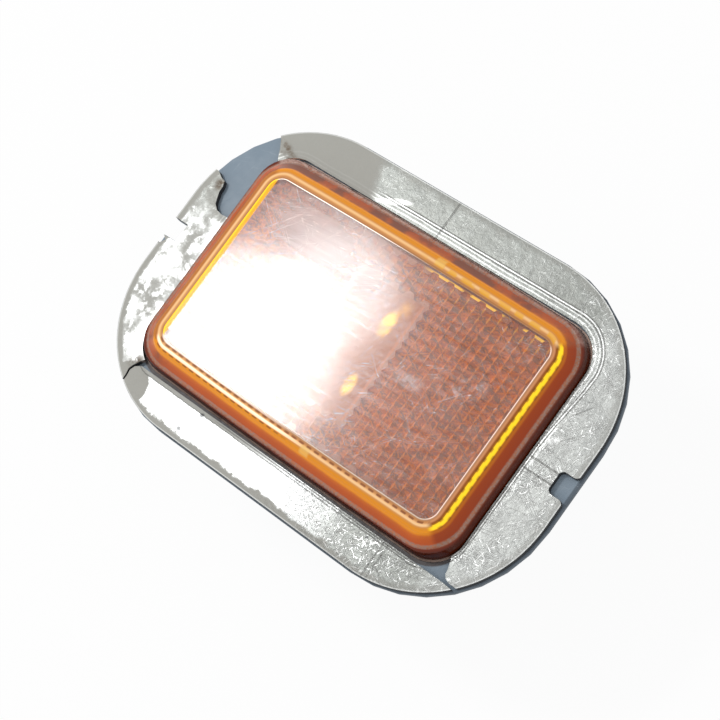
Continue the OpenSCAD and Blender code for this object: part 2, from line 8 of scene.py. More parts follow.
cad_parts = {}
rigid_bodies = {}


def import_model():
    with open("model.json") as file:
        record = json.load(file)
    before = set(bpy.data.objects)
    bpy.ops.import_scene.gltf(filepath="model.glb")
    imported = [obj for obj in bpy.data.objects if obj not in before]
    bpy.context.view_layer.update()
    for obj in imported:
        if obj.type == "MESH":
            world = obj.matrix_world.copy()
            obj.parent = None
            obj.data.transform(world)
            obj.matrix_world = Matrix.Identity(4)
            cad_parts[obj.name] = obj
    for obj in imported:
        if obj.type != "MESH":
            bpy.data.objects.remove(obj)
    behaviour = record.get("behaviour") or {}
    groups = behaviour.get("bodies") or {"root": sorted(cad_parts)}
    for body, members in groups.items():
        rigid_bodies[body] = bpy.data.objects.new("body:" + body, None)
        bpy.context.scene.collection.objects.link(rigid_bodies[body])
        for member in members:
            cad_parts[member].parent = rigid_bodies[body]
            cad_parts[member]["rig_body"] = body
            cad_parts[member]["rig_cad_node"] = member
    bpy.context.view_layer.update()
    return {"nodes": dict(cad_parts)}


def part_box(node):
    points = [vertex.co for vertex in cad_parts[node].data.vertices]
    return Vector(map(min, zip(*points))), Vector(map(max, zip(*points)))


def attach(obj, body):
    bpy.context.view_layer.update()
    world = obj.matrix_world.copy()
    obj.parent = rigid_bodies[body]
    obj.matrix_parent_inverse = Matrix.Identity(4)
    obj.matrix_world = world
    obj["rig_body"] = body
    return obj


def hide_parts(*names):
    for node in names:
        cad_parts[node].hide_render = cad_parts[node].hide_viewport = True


mm = 0.001
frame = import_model()
print("frame loaded:", len(frame["nodes"]), "nodes")


# A colour as a screen shows it, 0 to 255, made linear for the shaders
def colour(red, green, blue, alpha=1.0):
    return tuple(
        (c / 255 / 12.92) if c / 255 <= 0.04045 else ((c / 255 + 0.055) / 1.055) ** 2.4 for c in (red, green, blue)
    ) + (alpha,)


# A socket that takes part in Python sums
class Value:
    def __init__(self, paint, socket):
        self.paint, self.socket = paint, socket

    def maths(self, operation, *others, clamp=False):
        made = self.paint.add("Math", {"operation": operation, "use_clamp": clamp}, dict(enumerate((self, *others))))
        return Value(self.paint, made.outputs[0])

    def __add__(self, other):
        return self.maths("ADD", other)

    def __sub__(self, other):
        return self.maths("SUBTRACT", other)

    def __mul__(self, other):
        return self.maths("MULTIPLY", other)

    def __truediv__(self, other):
        return self.maths("DIVIDE", other)

    def __rsub__(self, other):
        return self.maths("MULTIPLY_ADD", -1.0, other)

    __radd__ = __add__
    __rmul__ = __mul__

    def __neg__(self):
        return self * -1.0

    def __pow__(self, other):
        return self.maths("POWER", other)

    def abs(self):
        return self.maths("ABSOLUTE")

    def least(self, other):
        return self.maths("MINIMUM", other)

    def most(self, other):
        return self.maths("MAXIMUM", other)

    def clamp(self):
        return self.maths("ADD", 0.0, clamp=True)

    # 0 below low, 1 above high, smooth between; high may be the lower one
    def ramp(self, low, high):
        made = self.paint.add(
            "MapRange",
            {"interpolation_type": "SMOOTHSTEP"},
            {"Value": self, "From Min": low, "From Max": high, "To Min": 0.0, "To Max": 1.0},
        )
        return Value(self.paint, made.outputs["Result"])

    # 1 within half of middle, falling to 0 over soft
    def band(self, middle, half, soft):
        return (self - middle).abs().ramp(half + soft, half)


# A material being made
class Paint:
    def __init__(self, name):
        self.material = bpy.data.materials.new(name)
        self.material.use_nodes = True
        self.tree = self.material.node_tree
        self.tree.nodes.clear()
        self.output = self.add("OutputMaterial")
        place = self.add("TexCoord").outputs["Object"]
        split = self.add("SeparateXYZ", {}, {0: place})
        self.place = place
        self.x, self.y, self.z = (Value(self, split.outputs[i]) * 1000.0 for i in range(3))

    def add(self, kind, settings=None, values=None):
        made = self.tree.nodes.new("ShaderNode" + kind)
        for key, setting in (settings or {}).items():
            if key == "stops":
                while len(made.color_ramp.elements) < len(setting):
                    made.color_ramp.elements.new(0.5)
                for element, (position, shade) in zip(made.color_ramp.elements, setting):
                    element.position, element.color = position, shade
            else:
                setattr(made, key, setting)
        for key, value in (values or {}).items():
            socket = made.inputs[key]
            if isinstance(value, Value):
                self.tree.links.new(value.socket, socket)
            elif isinstance(value, bpy.types.NodeSocket):
                self.tree.links.new(value, socket)
            else:
                socket.default_value = value
        return made

    # Object coordinates turned about Z by turn degrees, then stretched
    def moved(self, turn=0.0, stretch=(1, 1, 1), shift=(0, 0, 0)):
        return self.add(
            "Mapping",
            {"vector_type": "TEXTURE"},
            {
                "Vector": self.place,
                "Location": shift,
                "Rotation": (0, 0, math.radians(turn)),
                "Scale": [1 / part for part in stretch],
            },
        ).outputs[0]

    def noise(self, scale, detail=3.0, rough=0.55, warp=0.0, where=None):
        made = self.add(
            "TexNoise",
            {},
            {
                "Vector": where or self.place,
                "Scale": scale,
                "Detail": detail,
                "Roughness": rough,
                "Distortion": warp,
            },
        )
        return Value(self, made.outputs["Fac"])

    # Colour low where factor is 0, high where it is 1
    def blend(self, factor, low, high):
        made = self.add("Mix", {"data_type": "RGBA"}, {0: factor})
        for socket, shade in ((made.inputs[6], low), (made.inputs[7], high)):
            if isinstance(shade, bpy.types.NodeSocket):
                self.tree.links.new(shade, socket)
            else:
                socket.default_value = shade
        return made.outputs[2]

    # A colour that follows the stops, each a place along and a colour as a screen shows it
    def shades(self, along, stops):
        low, high = stops[0][0], stops[-1][0]
        made = self.add(
            "ValToRGB",
            {"stops": [((place - low) / (high - low), colour(*shade)) for place, shade in stops]},
            {0: (along - low) / (high - low)},
        )
        return made.outputs[0]

    # 1 in the middle of a turned oval, 0 outside it
    def spot(self, middle, reach, turn=0.0, soft=0.6):
        c, s = math.cos(math.radians(turn)), math.sin(math.radians(turn))
        dx, dy = self.x - middle[0], self.y - middle[1]
        u = (dx * c + dy * s) / reach[0]
        v = (dy * c - dx * s) / reach[1]
        return ((u * u + v * v) ** 0.5).ramp(1.0, 1.0 - soft)

    # Distance outwards from a rounded rectangle, negative inside it
    def outOf(self, long, wide, radius):
        overX, overY = self.x.abs() - (long / 2 - radius), self.y.abs() - (wide / 2 - radius)
        return (overX.most(0.0) ** 2.0 + overY.most(0.0) ** 2.0) ** 0.5 + overX.most(overY).least(0.0) - radius

    # Short marks that lie in several directions
    def dashes(self, turns, scale, low):
        marks = [self.noise(scale, 2.0, where=self.moved(turn, (0.17, 1, 1), (turn, 0, 0))) for turn in turns]
        return self.strongest([mark.ramp(low, low + 0.06) for mark in marks])

    def strongest(self, values):
        total = values[0]
        for value in values[1:]:
            total = total.most(value)
        return total

    def bump(self, height, distance):
        return self.add("Bump", {}, {"Height": height, "Distance": distance, "Strength": 1.0}).outputs[0]

    def principled(self, **values):
        return self.add("BsdfPrincipled", {}, {k.replace("_", " "): v for k, v in values.items()}).outputs[0]

    def mix(self, factor, low, high):
        return self.add("MixShader", {}, {0: factor, 1: low, 2: high}).outputs[0]

    # Fine scratches that run in several directions
    def hairlines(self, turns, width):
        lines = []
        for turn in turns:
            drift = self.noise(1500, 1.0, where=self.moved(turn, (0.035, 1, 1), (turn, turn, 0)))
            line = (drift - 0.5).abs().ramp(0.012 * width, 0.0)
            lines.append(line * self.noise(260, 2.0, where=self.moved(turn, (0.3, 1, 1))).ramp(0.5, 0.62))
        return self.strongest(lines)

    def done(self, shader):
        self.tree.links.new(shader, self.output.inputs["Surface"])
        return self.material


def onlySelect(*objects):
    bpy.ops.object.select_all(action="DESELECT")
    for item in objects:
        item.select_set(True)
    bpy.context.view_layer.objects.active = objects[0]


# A copy of a CAD node with its triangles joined, its flat faces whole and its rounded ones smooth
def mergedCopy(node, name, material, angle=30):
    piece = frame["nodes"][node].copy()
    piece.data = piece.data.copy()
    piece.name = piece.data.name = name
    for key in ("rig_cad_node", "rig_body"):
        del piece[key]
    piece.parent = None
    bpy.context.scene.collection.objects.link(piece)
    onlySelect(piece)
    bpy.ops.object.mode_set(mode="EDIT")
    bpy.ops.mesh.select_all(action="SELECT")
    bpy.ops.mesh.customdata_custom_splitnormals_clear()
    bpy.ops.mesh.remove_doubles(threshold=0.004 * mm)
    bpy.ops.mesh.dissolve_limited(angle_limit=math.radians(0.3))
    bpy.ops.object.mode_set(mode="OBJECT")
    bpy.ops.object.shade_smooth_by_angle(angle=math.radians(angle))
    dress(piece, material)
    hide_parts(node)
    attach(piece, "root")
    return piece


def dress(piece, material):
    piece.data.materials.clear()
    piece.data.materials.append(material)


# Distance outwards from a rounded rectangle, negative inside it
def outOf(x, y, long, wide, radius):
    overX, overY = abs(x) - (long / 2 - radius), abs(y) - (wide / 2 - radius)
    return math.hypot(max(overX, 0), max(overY, 0)) + min(max(overX, overY), 0) - radius


filmSpec = {
    "greys": ((0.3, (98, 100, 96)), (0.45, (129, 131, 127)), (0.6, (146, 149, 145)), (0.8, (188, 191, 187))),
    "matte": (166, 165, 158),
    "creaseAndHighlight": (244, 246, 244),
    "shine": (244, 246, 246),
    "cut": (108, 108, 105),
    "speck": (60, 60, 62),
    "glue": (104, 84, 62),
    "rough": 0.34,
    "metal": 0.7,
    "grid": 0.8,  # Size of the facets that the film is cut into
    "bump": 0.18,
    "swell": 0.1,  # Height of the soft swells
    "swellsEachMm": 0.11,
    "crumplesEachMm": 0.5,
    "groove": 0.05,
    "grooveWide": 0.6,
    "grooveSpread": 1.75,
    "grooveStart": 2,
    "grooveEnd": 24,
    "rolled": 0.12,  # How far the edges turn down
    "rolledReach": 1.1,
    "lip": 0.32,  # How far the inner edge reaches over the gap
    "lipReach": 0.25,
    "smoothFirst": 60,
    "smoothBelow": 50,
    "lowest": -0.13,
    "highest": 0.16,
    "outer": (121.1, 81.5, 30.95),  # Length, width and corner radius
    "inner": (96.7, 62.1, 8.95),
}


# A length of film cut into small facets, swollen and rolled down at its edges
def filmPiece(node, name, material):
    spec = filmSpec
    piece = mergedCopy(node, name, material, spec["smoothFirst"])
    bpy.ops.object.mode_set(mode="EDIT")
    low, high = (Vector(c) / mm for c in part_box(node))
    for axis, turn in ((0, (1, 0, 0)), (1, (0, 1, 0))):
        place = math.ceil(low[axis] / spec["grid"]) * spec["grid"]
        while place < high[axis]:
            spot = [0, 0, 0]
            spot[axis] = place * mm
            bpy.ops.mesh.select_all(action="SELECT")
            bpy.ops.mesh.bisect(plane_co=spot, plane_no=turn)
            place += spec["grid"]
    bpy.ops.object.mode_set(mode="OBJECT")
    for vertex in piece.data.vertices:
        if vertex.co.z < -0.01 * mm:  # Only the front face moves
            continue
        x, y = vertex.co.x / mm, vertex.co.y / mm
        reach = min(-outOf(x, y, *spec["outer"]), outOf(x, y, *spec["inner"]))
        swell = noise.fractal(Vector((x * spec["swellsEachMm"], y * spec["swellsEachMm"], 3.7)), 1.0, 2.0, 4)
        crumple = noise.fractal(Vector((x * spec["crumplesEachMm"], y * spec["crumplesEachMm"], 9.1)), 1.0, 2.0, 3)
        rolled = max(0.0, 1 - reach / spec["rolledReach"]) ** 2
        inward = outOf(x, y, *spec["inner"])
        if inward < spec["lipReach"]:  # The inner edge is drawn towards the lens
            aside = [outOf(x + 0.01, y, *spec["inner"]) - inward, outOf(x, y + 0.01, *spec["inner"]) - inward]
            vertex.co.x -= aside[0] * 100 * spec["lip"] * mm
            vertex.co.y -= aside[1] * 100 * spec["lip"] * mm
        lift = spec["swell"] * (0.8 * swell + 0.35 * crumple) - spec["rolled"] * rolled
        if x > -18:  # The embossed groove runs farther from the lens along the upper side
            along = (y - spec["grooveStart"]) / (spec["grooveEnd"] - spec["grooveStart"])
            away = inward - 0.4 - spec["grooveSpread"] * min(1, max(0, along))
            lift -= spec["groove"] * math.exp(-((away / spec["grooveWide"]) ** 2))
        vertex.co.z += max(spec["lowest"], min(spec["highest"], lift)) * mm
    bpy.ops.object.shade_smooth_by_angle(angle=math.radians(spec["smoothBelow"]))


lensSpec = {
    "paneLong": 82.0,
    "paneWide": 46.4,
    "paneRadius": 3.2,
    "bow": 0.5,  # How far the long edges of the pane bulge
    "paneTop": 5.2,
    "ceiling": 3.0,  # Height of the back of the pane, over the prisms
    "pitch": 2.6,  # Across the flats of one reflex prism
    "window": (17.4, 31.2),
    "edgeAngle": 24,
    "ior": 1.49,
    "haze": 0.06,  # Share of dust all over the pane
    "rough": 0.16,
    "coat": 0.24,
    "coatRough": 0.06,
    "specular": 0.15,
    "paneSharp": 0.1,
    "paneSoft": 0.2,
    "dustRough": 0.3,
    "viewLean": 0.64,  # How far the back of the pane shifts sideways, for each millimetre of depth, in the photo's view
    "marginStart": 39.85,  # Where the yellow line along the left edge begins and is full
    "marginFull": 40.3,
    "paneTint": (255, 246, 236),
    "dust": (226, 214, 214),
    # Beside the amber's own colour and the dusty ledge, these bands hold painted highlights: the white line at the
    # pane's edge and the peach line on the crown
    "sideBands": (  # Distance out from the edge of the pane, and the colour there
        (-1.0, (235, 196, 160)),
        (0.05, (252, 236, 218)),
        (0.4, (188, 130, 80)),
        (0.95, (214, 146, 84)),
        (1.3, (252, 196, 132)),
        (1.6, (255, 208, 150)),
        (2.0, (222, 148, 70)),
        (2.4, (232, 146, 30)),
        (3.2, (252, 156, 20)),
        (3.7, (218, 108, 24)),
        (4.3, (204, 92, 26)),
        (5.1, (196, 86, 30)),
        (5.5, (196, 118, 74)),
        (6.1, (110, 40, 14)),
        (7.0, (80, 28, 12)),
    ),
    # The right side's bands hold a painted yellow strip of light from inside the lamp, and a painted white line at the
    # pane's edge
    "rightBands": (
        (-1.0, (200, 150, 110)),
        (0.05, (240, 205, 186)),
        (0.45, (186, 128, 84)),
        (0.9, (222, 152, 100)),
        (1.35, (150, 76, 12)),
        (1.7, (172, 112, 6)),
        (1.95, (250, 208, 30)),
        (2.6, (252, 214, 20)),
        (2.9, (206, 116, 2)),
        (3.25, (214, 112, 14)),
        (3.6, (176, 68, 2)),
        (5.0, (166, 60, 4)),
        (5.5, (172, 108, 72)),
        (6.3, (110, 36, 8)),
        (7.0, (86, 30, 10)),
    ),
    "tickShade": (126, 70, 6),
    "rowShade": (128, 66, 34),
    "paleHighlightLine": (250, 228, 212),
    "leftShade": (158, 86, 44),
    "dustShade": (204, 176, 164),
    "seamShade": (182, 122, 66),
    "blobHighlight": (244, 176, 34),
    "gateShade": (255, 214, 120),
    "glint": (255, 246, 238),
    "wallDarkening": (112, 72, 58),
    "grime": (150, 130, 122),
    "foot": (70, 28, 16),
    "prismShadedFacet": (204, 132, 76),
    "prismLitFacet": (255, 172, 78),
    "prismGrey": (164, 130, 104),
    "prismFleck": (255, 172, 62),
    "prismCell": (138, 116, 108),
    "prismBright": (255, 206, 70),
    "flatShade": (170, 100, 54),
    "windowShade": (188, 116, 60),
    "lineShade": (200, 112, 36),
    "marginGlow": (238, 190, 40),
    "glow": (255, 205, 40),
}


# Clear amber acrylic: a see-through pane over glossy prisms, with the border's bands of light and its dirt
def makeAmber():
    paint = Paint("amberAcrylic")
    spec = lensSpec
    x, y, z = paint.x, paint.y, paint.z
    overX = x.abs() - (spec["paneLong"] / 2 - spec["paneRadius"])
    bulge = (1.0 - (x * (2 / spec["paneLong"])) ** 2.0) * spec["bow"]
    overY = y.abs() - (spec["paneWide"] / 2 - spec["paneRadius"]) - bulge
    rim = (overX.most(0.0) ** 2.0 + overY.most(0.0) ** 2.0) ** 0.5 + overX.most(overY).least(0.0) - spec["paneRadius"]
    ends = (overX - overY).ramp(-1.2, 1.2)
    right = ends * x.ramp(-1.0, 1.0)
    left = ends * x.ramp(1.0, -1.0)
    upper = (1.0 - ends) * y.ramp(-1.0, 1.0)

    # Border seen from outside, by distance from the pane's edge: the amber's own colour, with painted highlight lines
    # and painted shade
    cloud = paint.noise(110, 5.0, 0.6)
    fineCloud = paint.noise(600, 4.0, 0.6)
    wave = (cloud - 0.5) * 0.5
    common = paint.shades(rim + wave * rim.ramp(1.8, 3.6), spec["sideBands"])
    facing = paint.shades(rim, spec["rightBands"])
    beatY = (y * (math.pi / spec["pitch"]) + fineCloud * 0.6).maths("SINE").abs()
    strip = rim.band(2.28, 0.4, 0.2) * right
    innerTicks = beatY.ramp(0.75, 0.4) * rim.band(1.75, 0.22, 0.2) * 0.85
    outerTicks = beatY.ramp(0.7, 0.95) * rim.band(2.75, 0.14, 0.15) * 0.6
    for ticks in (innerTicks, outerTicks):
        facing = paint.blend(ticks, facing, colour(*spec["tickShade"]))
    base = paint.blend(right, common, facing)
    # Painted shade: a brown band along the left side of the border and a thin brown line along the upper side
    for brown in (rim.band(3.0, 0.8, 0.5) * left * 0.6, rim.band(0.35, 0.1, 0.08) * upper * 0.4):
        base = paint.blend(brown, base, colour(*spec["leftShade"]))
    # A cloudy darker band on the wall, most along the upper side and towards the lower left corner
    darkeningSides = (upper * 0.75 + 0.1 + x.ramp(-24, -42) * y.ramp(-8, -24) * 0.7).clamp()
    wallDarkening = (cloud.ramp(0.42, 0.6) * 0.7 + 0.3) * rim.band(4.5, 0.8, 0.5) * darkeningSides
    base = paint.blend(wallDarkening, base, colour(*spec["wallDarkening"]))
    lower = (1.0 - ends) * y.ramp(1.0, -1.0)
    beat = (x * (math.pi / 2.25) + fineCloud * 0.8).maths("SINE").abs()
    # Painted highlight: a pale line near the pane's edge along the lower side, towards the left
    base = paint.blend(rim.band(0.42, 0.16, 0.12) * lower * x.ramp(4, -8) * 0.8, base, colour(*spec["paleHighlightLine"]))
    rows = rim.band(0.92, 0.18, 0.14) + rim.band(2.36, 0.1, 0.12) * x.ramp(4, -4)
    base = paint.blend(beat.ramp(0.45, 0.75) * rows * lower * 0.75, base, colour(*spec["rowShade"]))
    # Painted highlight: irregular yellow dashes in the highlight line along the upper side, towards the right
    blobs = (x * (math.pi / 4.5) + cloud * 6.0).maths("SINE").abs().ramp(0.4, 0.75)
    base = paint.blend(blobs * rim.band(1.3, 0.4, 0.3) * upper * x.ramp(-2, 12) * 0.7, base, colour(*spec["blobHighlight"]))
    gate = x.band(7.0, 0.9, 0.7) * rim.band(2.1, 0.7, 0.5) * (1.0 - ends)
    base = paint.blend(gate * 0.45, base, colour(*spec["gateShade"]))
    grit = paint.noise(1900, 3.0, 0.6).ramp(0.42, 0.58)
    grime = (grit * 0.75 + 0.25) * rim.band(5.6, 0.3, 0.25) * z.band(2.2, 0.4, 0.3)
    base = paint.blend(grime * 0.7, base, colour(*spec["grime"]))
    # The lens darkens below 2 mm, less on the right: the black sealant seen through its foot, with painted shade in the
    # gap
    base = paint.blend(z.ramp(2.0, 1.2) * (0.85 - right * 0.45), base, colour(*spec["foot"]))
    dusty = (grit * 0.4 + fineCloud.ramp(0.3, 0.55) * 0.6) * rim.ramp(5.4, 5.9)
    dusty = dusty * upper * (x.ramp(6, -10) * 0.35 + 0.35)
    base = paint.blend(dusty, base, colour(*spec["dustShade"]))

    # Painted light: a glowing yellow line along the pane's left edge, which is also rougher and without coat there
    edgeBand = rim.band(0.08, 0.3, 0.1) * left
    base = paint.blend(edgeBand, base, colour(*spec["marginGlow"]))
    base = paint.blend(rim.band(0.45, 0.08, 0.08) * left * 0.7, base, colour(*spec["rowShade"]))
    base = paint.blend(rim.band(0.15, 0.2, 0.12) * upper * x.ramp(-4, 8) * 0.85, base, colour(*spec["seamShade"]))

    # Back of the pane: prisms, the flat margin round them and the light window. The prism facets are painted lit or
    # shaded by which way they face, and brighter towards the upper right
    under = z.ramp(spec["ceiling"] + 0.35, spec["ceiling"] + 0.15) * rim.ramp(2.4, 2.2)
    facet = paint.add("SeparateXYZ", {}, {0: paint.add("TexCoord").outputs["Normal"]})
    lean = Value(paint, facet.outputs[0]) * Value(paint, facet.outputs[2])
    slope = Value(paint, facet.outputs[1]) * Value(paint, facet.outputs[2])
    patch = paint.noise(170, 3.0)
    # Painted light and shade: facets leaning one way take the lit colour, those sloping another a greyer shade
    ray = lean.ramp(-0.1, -0.3)
    prism = paint.blend(ray, colour(*spec["prismShadedFacet"]), colour(*spec["prismLitFacet"]))
    prism = paint.blend(slope.ramp(0.1, 0.3) * 0.9, prism, colour(*spec["prismGrey"]))
    prism = paint.blend(patch.ramp(0.4, 0.7) * 0.3, prism, colour(*spec["prismLitFacet"]))
    prism = paint.blend(paint.noise(520, 3.0, 0.6).ramp(0.5, 0.62) * 0.4, prism, colour(*spec["prismCell"]))
    prism = paint.blend(paint.dashes((38, 92, 146), 1100, 0.56) * 0.55, prism, colour(*spec["prismFleck"]))
    lit = upper * x.ramp(-2, 12) * y.ramp(17.5, 22)
    prism = paint.blend(lit * ray * 0.8, prism, colour(*spec["prismBright"]))
    flat = Value(paint, facet.outputs[2]).abs().ramp(0.9, 0.98)
    prism = paint.blend(flat * 0.85, prism, colour(*spec["flatShade"]))
    inWindow = x.band(0, spec["window"][0] / 2, 0.2) * y.band(0, spec["window"][1] / 2, 0.2)
    prism = paint.blend(inWindow, prism, colour(*spec["windowShade"]))
    edgeLine = x.band(spec["window"][0] / 2 + 0.3, 0.25, 0.25) * y.band(0, 15, 1.0)
    prism = paint.blend(edgeLine, prism, colour(*spec["lineShade"]))
    # Painted light: the yellow strip of the flat margin along the left, and yellow marks in the margin along the upper
    # side; both glow below
    margin = (-x - (spec["paneTop"] - z) * spec["viewLean"]).ramp(spec["marginStart"], spec["marginFull"]) * left
    prism = paint.blend(margin, prism, colour(*spec["marginGlow"]))
    wedges = flat * patch.ramp(0.36, 0.46) * rim.ramp(-0.8, -0.6) * rim.ramp(0.0, -0.2) * upper * x.ramp(2, 8)
    prism = paint.blend(wedges, prism, colour(*spec["marginGlow"]))
    base = paint.blend(under, base, prism)

    glow = (
        paint.spot((4.2, 8.0), (2.2, 4.2), 0)
        + paint.spot((5.2, -8.0), (1.8, 3.6), 0) * 0.9
        + paint.spot((5.6, 12.5), (2.4, 3.4), 0, 0.9) * 0.3
    )
    streaky = paint.noise(600, 4.0, 0.7, where=paint.moved(38, (0.35, 1, 1))).ramp(0.36, 0.56)
    glow = glow * under * inWindow * (streaky * 0.7 + 0.4) + strip * 0.35
    glow = glow + (margin * under + edgeBand * (1.0 - under)) * 0.8 + wedges * under * 0.5
    light = paint.blend(glow.clamp(), (0, 0, 0, 1), colour(*spec["glow"]))
    glint = rim.band(0.1, 0.09, 0.06) * (upper * x.ramp(4, -16) + right * 0.45).clamp()
    shine = (rim - x.ramp(8, -8) * 0.3).band(1.46, 0.26, 0.16) * lower * (x.ramp(8, -4) * 0.6 + 0.04) * (1.0 - gate)
    glint = glint + shine
    light = paint.blend(glint * (1.0 - under), light, colour(*spec["glint"]))
    body = paint.principled(
        Base_Color=base,
        Roughness=spec["rough"] + cloud * 0.1 + edgeBand * 0.5,
        IOR=spec["ior"],
        Coat_Weight=(1.0 - edgeBand) * spec["coat"],
        Coat_Roughness=spec["coatRough"],
        Specular_IOR_Level=spec["specular"],
        Emission_Color=light,
        Emission_Strength=1.0,
    )

    # Pane: clear plastic with haze, scuffs and hairlines, and a painted glare in the haze over its upper left
    hair = paint.hairlines((28, -38, 74, 8, 52), 0.8)
    scuffs = (
        paint.spot((30, 5), (8, 3.6), 35, 0.9)
        + paint.spot((17, -1.5), (7, 3.4), 20, 0.9)
        + paint.spot((9, -15.5), (5, 6), 0, 0.9) * 1.2
        + paint.spot((36, -12), (6, 8), 0, 0.9) * 0.4
    )
    smear = paint.noise(230, 6.0, 0.7, warp=1.2)
    fibres = paint.noise(1100, 3.0, 0.6, where=paint.moved(3, (0.05, 1, 1)))
    hazeAndGlare = spec["haze"] + hair * (cloud.ramp(0.35, 0.6) * 0.4 + 0.3) + scuffs * smear.ramp(0.45, 0.68) * 0.42
    # Heavier haze over the upper left of the pane: partly haze, partly painted glare
    hazeAndGlare = hazeAndGlare + (paint.spot((-22, 16), (24, 13), 0, 0.9) * 0.34 + paint.spot((-4, 14), (8, 9), 0, 0.9) * 0.2)
    hazeAndGlare = (hazeAndGlare + (fibres - 0.5) * 0.3 * (smear.ramp(0.4, 0.6) * 0.6 + 0.4) + cloud.ramp(0.4, 0.7) * 0.05).clamp()
    clear = paint.add("BsdfTransparent", {}, {"Color": colour(*spec["paneTint"])}).outputs[0]
    sharp, soft = (
        paint.add("BsdfGlossy", {}, {"Color": (1, 1, 1, 1), "Roughness": spec[key]}).outputs[0]
        for key in ("paneSharp", "paneSoft")
    )
    gloss = paint.mix((fibres.ramp(0.35, 0.65) * 0.35 + 0.2).clamp(), sharp, soft)
    fresnel = paint.add("Fresnel", {}, {"IOR": spec["ior"]}).outputs[0]
    dust = paint.principled(Base_Color=colour(*spec["dust"]), Roughness=spec["dustRough"], Specular_IOR_Level=0.5)
    lip = 1.0 - rim.band(-0.35, 0.45, 0.2) * left * 0.85  # The pane's rounded left edge shows no lamp
    pane = paint.mix(Value(paint, fresnel) * lip, clear, gloss)
    pane = paint.mix(hazeAndGlare * lip, pane, dust)
    onPane = z.ramp(spec["paneTop"] - 0.1, spec["paneTop"] - 0.03) * rim.ramp(0.1, 0.0)
    return paint.done(paint.mix(onPane, body, pane))


# One even colour, a little worn and grainy
def makePlain(name, spec):
    paint = Paint(name)
    worn = paint.noise(140, 4.0).ramp(0.3, 0.75) * 0.36
    base = paint.blend(worn, colour(*spec["shade"]), colour(*[min(255, c * 1.35 + 8) for c in spec["shade"]]))
    return paint.done(
        paint.principled(
            Base_Color=base,
            Roughness=paint.noise(300) * 0.25 + (spec["rough"] - 0.12),
            Metallic=spec["metal"],
            Normal=paint.bump(paint.noise(900, 2.0), 0.04 * mm),
        )
    )


def makeBulbGlass(name, spec):
    paint = Paint(name)
    return paint.done(
        paint.principled(
            Base_Color=(1, 1, 1, 1), Roughness=spec["rough"], IOR=spec["ior"], Transmission_Weight=1.0
        )
    )


housingSpec = {
    "shade": (122, 138, 152),
    "worn": (158, 170, 180),
    "edge": (72, 82, 92),
    "gapDarkening": (58, 42, 35),
    "rough": 0.42,
}


# Blue-grey plastic, a little worn, darkened to brown in the gap beside the lens's lower side and close round the lens
def makeHousing():
    paint = Paint("blueGreyPlastic")
    spec = housingSpec
    cloud = paint.noise(140, 4.0)
    fine = paint.noise(900, 2.0)
    front = paint.z.ramp(-8, -4)
    base = paint.blend(cloud.ramp(0.35, 0.7) * 0.25, colour(*spec["shade"]), colour(*spec["worn"]))
    gap = paint.outOf(*filmSpec["inner"])
    gapDarkening = (gap + cloud * 0.6).ramp(0.9, 0.5) * paint.y.ramp(-16, -26) + (gap + fine).ramp(0.35, 0.0) * 0.6
    base = paint.blend((gapDarkening * front).clamp() * 0.9, base, colour(*spec["gapDarkening"]))
    shade = paint.outOf(*filmSpec["outer"]).ramp(-0.5, -0.1) * paint.x.ramp(-36, -26) * paint.z.ramp(-8, -6)
    base = paint.blend(shade * 0.8, base, colour(*spec["edge"]))
    rubbed = paint.hairlines((20, 75), 1.2) * front
    base = paint.blend(rubbed * 0.4, base, colour(*spec["worn"]))
    return paint.done(
        paint.principled(
            Base_Color=base, Roughness=fine * 0.2 + spec["rough"], Normal=paint.bump(fine + cloud * 0.5, 0.05 * mm)
        )
    )


# Black foam or sealant whose part beside the lens is full of pale brown dust, most along the upper side
def makeDusty(name, spec):
    paint = Paint(name)
    out = paint.outOf(*filmSpec["inner"])
    cloud = paint.noise(300, 5.0, 0.65)
    amount = out.ramp(spec["reach"] + 0.4, spec["reach"]) * (paint.y.ramp(-20, 26) * 0.75 + 0.25)
    base = paint.blend(cloud, colour(*spec["shade"]), colour(*[c * 1.6 + 8 for c in spec["shade"]]))
    base = paint.blend(amount * cloud.ramp(0.25, 0.55), base, colour(*spec["dust"]))
    pores = paint.bump(paint.noise(spec["grain"], 2.0), 0.08 * mm)
    return paint.done(paint.principled(Base_Color=base, Roughness=0.75 + cloud * 0.2, Normal=pores))
